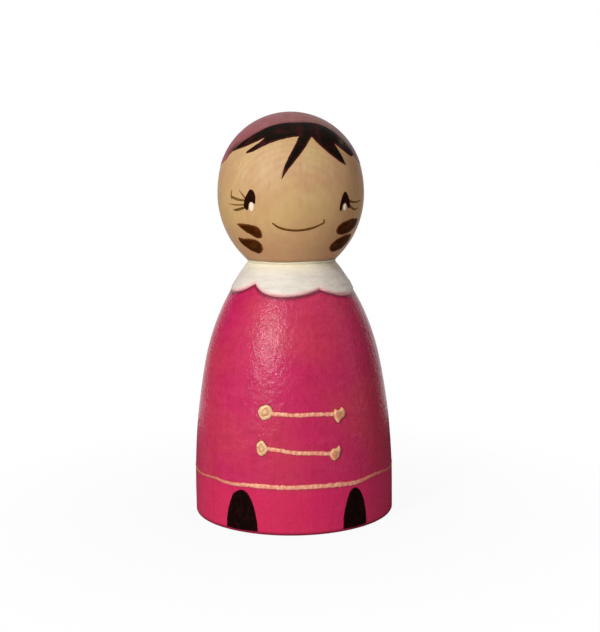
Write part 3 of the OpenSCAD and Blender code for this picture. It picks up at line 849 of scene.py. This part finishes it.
def raised_line(name, points, width, closed, seed, twist, thin=0.0):
    """Raised pen line on the body, uneven in width and height and thinner towards the sides."""
    line = smooth_run(points, LINE_PARTS)
    if closed:
        line = line[:-1]
    phi, z = np.radians(line[:, 0]), line[:, 1]
    run = np.concatenate([[0], np.cumsum(np.hypot(np.diff(phi) * BASE_R, np.diff(z)))])
    verts, depth = [], []
    for a, mid, along in zip(phi, z, run):
        wave = ripple(along * 0.55, seed, 0)
        fine = ripple(along * 1.9, seed, 4)
        left = 1 - thin * min(1, max(0, (abs(math.degrees(a)) - THIN_FROM) / THIN_OVER))
        half = width / 2 * left * (1 + 0.16 * wave + 0.14 * fine)
        shift = 0.1 * ripple(along * 1.1, seed, 9)
        turn = twist * math.sin(along * 2 * math.pi / TWIST_PITCH)
        high = LINE_RISE * left ** 2 * (1 + 0.25 * fine + turn)
        for t in np.linspace(-1, 1, LINE_ACROSS):
            zz = mid + shift + half * t
            r = float(body_radius(zz))
            nr, nz = body_normal(r, zz)
            lift = high * math.sqrt(max(0, 1 - t * t)) - SINK * (abs(t) == 1)
            slant = twist * 0.7 * t / BASE_R
            verts.append(around(np.array([a + slant]), r + lift * nr, zz + lift * nz)[0])
            depth.append(half * (1 - abs(t)))
    faces = ring_faces(len(line), LINE_ACROSS, closed)
    if not closed:
        faces.append(tuple(range(LINE_ACROSS)))
        faces.append(tuple(reversed(range(len(verts) - LINE_ACROSS, len(verts)))))
    return make_piece(name, verts, faces, depth)


def make_trim(line_paint, knob_paint):
    """Gold hem line, and two closures of a bar with a knob at each end."""
    seat(raised_line("hem_bead", HEM_LINE, HEM_W, True, 2.0, HEM_TWIST, HEM_THIN), line_paint,
         "hem_line")
    for side, bar, left, right, height, seed in (
            ("upper", UPPER_BAR, UPPER_LEFT_KNOB, UPPER_RIGHT_KNOB, 25.9, 11.0),
            ("lower", LOWER_BAR, LOWER_LEFT_KNOB, LOWER_RIGHT_KNOB, 17.8, 23.0)):
        node = side + "_frog"
        piece = raised_line(node + "_bar", bar, BAR_W, False, seed, BAR_TWIST)
        seat(piece, line_paint, node)
        for name, loop, phi in (("left", left, -21), ("right", right, 21)):
            patch = BodyPatch(phi, height)
            piece = film(f"{node}_{name}_knob", patch, outline(patch, loop), seed, **KNOB_FILM)
            seat(piece, knob_paint, node)
            seed += 3


def make_shoes(material):
    for name, loop, phi in (("left_shoe", LEFT_SHOE, -35.5), ("right_shoe", RIGHT_SHOE, 30.5)):
        patch = BodyPatch(phi, SHOE_Z)
        piece = film(name + "_film", patch, outline(patch, loop), phi, **SHOE_FILM)
        seat(piece, material, name)


def make_hood(material):
    patch = HeadPatch(180, CROWN_Z)
    piece = film("hood_film", patch, outline(patch, HOOD), 31.0, **HOOD_FILM)
    seat(piece, material, "hood_paint")


def make_hair(material):
    patch = HeadPatch(0, CROWN_Z)
    piece = film("hair_film", patch, outline(patch, HAIR), 41.0, **HAIR_FILM)
    seat(piece, material, "hair_paint")


def make_eyes(dark, white):
    for side, eye, light, phi in (("left", LEFT_EYE, LEFT_LIGHT, -37),
                                  ("right", RIGHT_EYE, RIGHT_LIGHT, 40)):
        patch = HeadPatch(phi, EYE_Z)
        piece = film(side + "_eye_film", patch, outline(patch, eye), phi, **EYE_FILM)
        seat(piece, dark, side + "_eye")
        piece = film(side + "_eye_dot", patch, outline(patch, light), phi, **LIGHT_FILM)
        seat(piece, white, side + "_eye_light")


def make_lashes(left_paint, right_paint):
    for side, lines, phi, paint in (("left", LEFT_LASHES, -50, left_paint),
                                    ("right", RIGHT_LASHES, 52, right_paint)):
        patch = HeadPatch(phi, EYE_Z)
        for i, (points, widths) in enumerate(lines):
            piece = film(f"{side}_lash_{i + 1}", patch, brush_line(patch, points, widths), phi + i,
                         lift=LASH_LIFT + LASH_MORE * i, **LASH_FILM)
            seat(piece, paint, side + "_lashes")


def make_smile(material):
    patch = HeadPatch(0, SMILE_Z)
    for name, points, widths, lift in (("smile_line", SMILE, SMILE_WIDTHS, SMILE_LIFT),
                                       ("smile_tick", SMILE_TICK, TICK_WIDTHS, TICK_LIFT)):
        piece = film(name, patch, brush_line(patch, points, widths), 5.0, lift=lift, **SMILE_FILM)
        seat(piece, material, "smile")


def make_cheeks(material):
    for side, phi, upper, lower in (("left", -44, LEFT_UPPER_CHEEK, LEFT_LOWER_CHEEK),
                                    ("right", 49, RIGHT_UPPER_CHEEK, RIGHT_LOWER_CHEEK)):
        patch = HeadPatch(phi, CHEEK_Z)
        for name, loop in (("upper", upper), ("lower", lower)):
            piece = film(f"{side}_{name}_cheek_stroke", patch, outline(patch, loop), phi + len(name),
                         **CHEEK_FILM)
            seat(piece, material, side + "_cheek_strokes")


def dress_node(name, material):
    """Give a solid of the CAD frame its material."""
    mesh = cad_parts[name].data
    mesh.materials.clear()
    mesh.materials.append(material)


# Camera, light and floor, in metres and degrees

CAMERA_AT = (-0.02216, -0.25331, 0.07815)
CAMERA_TURN, CAMERA_FALL, CAMERA_ROLL = 5.4, 7.605, -0.608
CAMERA_LENS, CAMERA_SENSOR = 64.30, 36
LAMPS_AIM_Z = 0.045
# Cards beside the doll, on the floor, and behind the camera
SIDE_X, SIDE_NEAR, SIDE_H = 0.13, -0.02, 0.3
LEFT_FAR, RIGHT_FAR = 0.22, 0.12
CARD_HALF, CARD_NEAR, CARD_FAR, CARD_Z = 0.4, -0.6, 0.1, -0.00005
FRONT_HALF, FRONT_Y, FRONT_H = 4.0, -1.0, 1.6
# Floor, and how white the camera sees it from under the doll to where it is all white
FLOOR_HALF, FLOOR_Z = 3, -0.0001
SHADE_NEAR, SHADE_FAR, SHADE_WHITE = 0.025, 0.09, 0.93
# Strength of the white surroundings as a light, and as the camera and the gloss see them
WORLD_LIGHT, WORLD_SEEN = 0.32, 1.0


def make_camera():
    data = bpy.data.cameras.new("camera")
    data.sensor_width = CAMERA_SENSOR
    data.lens = CAMERA_LENS
    data.clip_start, data.clip_end = 0.01, 10
    camera = bpy.data.objects.new("camera", data)
    bpy.context.scene.collection.objects.link(camera)
    turn, fall = math.radians(CAMERA_TURN), math.radians(CAMERA_FALL)
    way = Vector((math.sin(turn) * math.cos(fall), math.cos(turn) * math.cos(fall), -math.sin(fall)))
    aim = way.to_track_quat("-Z", "Y").to_matrix().to_4x4()
    roll = Matrix.Rotation(math.radians(CAMERA_ROLL), 4, "Z")
    camera.matrix_world = Matrix.Translation(CAMERA_AT) @ aim @ roll
    bpy.context.scene.camera = camera


def make_lamp(name, azimuth, elevation, distance, size, power, colour):
    """Soft box that faces the middle of the doll; azimuth from the front towards +X."""
    data = bpy.data.lights.new(name, "AREA")
    data.shape = "RECTANGLE"
    data.size, data.size_y = size
    data.energy = power
    data.color = colour
    lamp = bpy.data.objects.new(name, data)
    bpy.context.scene.collection.objects.link(lamp)
    a, e = math.radians(azimuth), math.radians(elevation)
    away = Vector((math.sin(a) * math.cos(e), -math.cos(a) * math.cos(e), math.sin(e)))
    lamp.location = Vector((0, 0, LAMPS_AIM_Z)) + away * distance
    lamp.rotation_euler = (-away).to_track_quat("-Z", "Y").to_euler()


def make_card(name, corners, diffuse):
    """Dark card, out of sight, that keeps white surroundings out of the doll's gloss but for its edges."""
    mesh = bpy.data.meshes.new(name)
    mesh.from_pydata(corners, [], [(0, 1, 2, 3)])
    card = bpy.data.objects.new(name, mesh)
    felt = Nodes(name + "_felt", 1.0, 0.0)
    felt.colour = felt.mix(felt.clouds(300), srgb(104, 100, 98), srgb(120, 116, 114))
    mesh.materials.append(felt.finish())
    card.visible_camera = False
    card.visible_shadow = False
    card.visible_diffuse = diffuse
    bpy.context.scene.collection.objects.link(card)


def make_cards():
    for name, x, far in (("left_card", -SIDE_X, LEFT_FAR), ("right_card", SIDE_X, RIGHT_FAR)):
        foot = [(x, SIDE_NEAR, 0), (x, far, 0)]
        make_card(name, foot + [(x, far, SIDE_H), (x, SIDE_NEAR, SIDE_H)], True)
    x, z = CARD_HALF, CARD_Z
    near = [(-x, CARD_NEAR, z), (x, CARD_NEAR, z)]
    make_card("floor_card", near + [(x, CARD_FAR, z), (-x, CARD_FAR, z)], False)
    x, y = FRONT_HALF, FRONT_Y
    make_card("front_card", [(-x, y, 0), (x, y, 0), (x, y, FRONT_H), (-x, y, FRONT_H)], False)


def make_floor():
    mesh = bpy.data.meshes.new("floor")
    x = FLOOR_HALF
    mesh.from_pydata([(-x, -x, 0), (x, -x, 0), (x, x, 0), (-x, x, 0)], [], [(0, 1, 2, 3)])
    floor = bpy.data.objects.new("floor", mesh)
    floor.location.z = FLOOR_Z
    mesh.materials.append(floor_material())
    bpy.context.scene.collection.objects.link(floor)


def make_world():
    """White surroundings, weaker as a light than the camera and the gloss see them."""
    world = bpy.data.worlds.new("studio")
    world.use_nodes = True
    bpy.context.scene.world = world
    tree = world.node_tree
    back = tree.nodes["Background"]
    back.inputs["Color"].default_value = (1, 1, 1, 1)
    path = tree.nodes.new("ShaderNodeLightPath")
    seen = path.outputs["Is Camera Ray"]
    for other in ("Is Glossy Ray", "Is Transmission Ray"):
        larger = tree.nodes.new("ShaderNodeMath")
        larger.operation = "MAXIMUM"
        tree.links.new(seen, larger.inputs[0])
        tree.links.new(path.outputs[other], larger.inputs[1])
        seen = larger.outputs["Value"]
    strength = tree.nodes.new("ShaderNodeMapRange")
    strength.inputs["To Min"].default_value = WORLD_LIGHT
    strength.inputs["To Max"].default_value = WORLD_SEEN
    tree.links.new(seen, strength.inputs["Value"])
    tree.links.new(strength.outputs["Result"], back.inputs["Strength"])


make_camera()
make_floor()
make_world()
make_cards()
make_lamp("key_lamp", azimuth=-40.5, elevation=27, distance=0.6, size=(0.07, 0.28), power=2.28,
          colour=(1.0, 0.98, 0.96))
make_lamp("front_lamp", azimuth=-12, elevation=40, distance=0.8, size=(0.5, 0.5), power=0.5,
          colour=(1.0, 0.98, 0.95))
bpy.context.scene.view_settings.view_transform = "Standard"

turned_wood = srgb(212, 177, 129), srgb(182, 141, 95), srgb(196, 141, 107)
hidden_wood = srgb(226, 196, 152), srgb(205, 170, 122), srgb(220, 184, 140)
dress_node("body", wood("body_wood", *turned_wood, (0.02, 0.07, 0), 4))
dress_node("head", wood("head_wood", *turned_wood, (0.0005, 0.052, 0.072), 13, seam_shade=True))
dress_node("neck_dowel", wood("dowel_wood", *hidden_wood, (0.03, 0.03, 0), 0))

gold_line = gold_paint("gold_line_paint", srgb(254, 158, 138), srgb(254, 200, 164), srgb(232, 108, 94),
                       is_line=True)
gold_knob = gold_paint("gold_knob_paint", srgb(250, 196, 146), srgb(251, 220, 176), srgb(204, 130, 78),
                       is_line=False)
hair_black = stroke_paint("hair_black_paint", srgb(20, 14, 7), srgb(88, 32, 32), 260, 0.5, 0.34, worn=0.75)
eye_black = stroke_paint("eye_black_paint", srgb(36, 12, 4), srgb(60, 26, 14), 500, 0.5, 0.15)
cheek_brown = stroke_paint("cheek_brown_paint", srgb(66, 28, 2), srgb(122, 74, 34), 620, 0.5, 0.4, 0.5)
smile_brown = stroke_paint("smile_brown_paint", srgb(100, 60, 20), srgb(138, 92, 44), 500, 0.6, 0.12, 0.5)
lash_olive = stroke_paint("left_lash_paint", srgb(100, 72, 28), srgb(150, 116, 62), 500, 0.6, 0.12, 0.5)
lash_brown = stroke_paint("right_lash_paint", srgb(112, 74, 44), srgb(146, 104, 70), 500, 0.6, 0.12, 0.5)
shoe_black = stroke_paint("shoe_black_paint", srgb(20, 8, 6), srgb(58, 13, 18), 800, 0.5, 0.35, 0.4)
eye_white = stroke_paint("eye_white_paint", srgb(248, 232, 208), srgb(238, 212, 178), 500, 0.3, 0.12, 0.4)

make_coat(coat_paint())
cream_paint = collar_paint()
make_collar(cream_paint)
make_collar_lap(cream_paint)
make_trim(gold_line, gold_knob)
make_shoes(shoe_black)
make_hood(hood_paint())
make_hair(hair_black)
make_eyes(eye_black, eye_white)
make_lashes(lash_olive, lash_brown)
make_smile(smile_brown)
make_cheeks(cheek_brown)

bpy.context.view_layer.update()
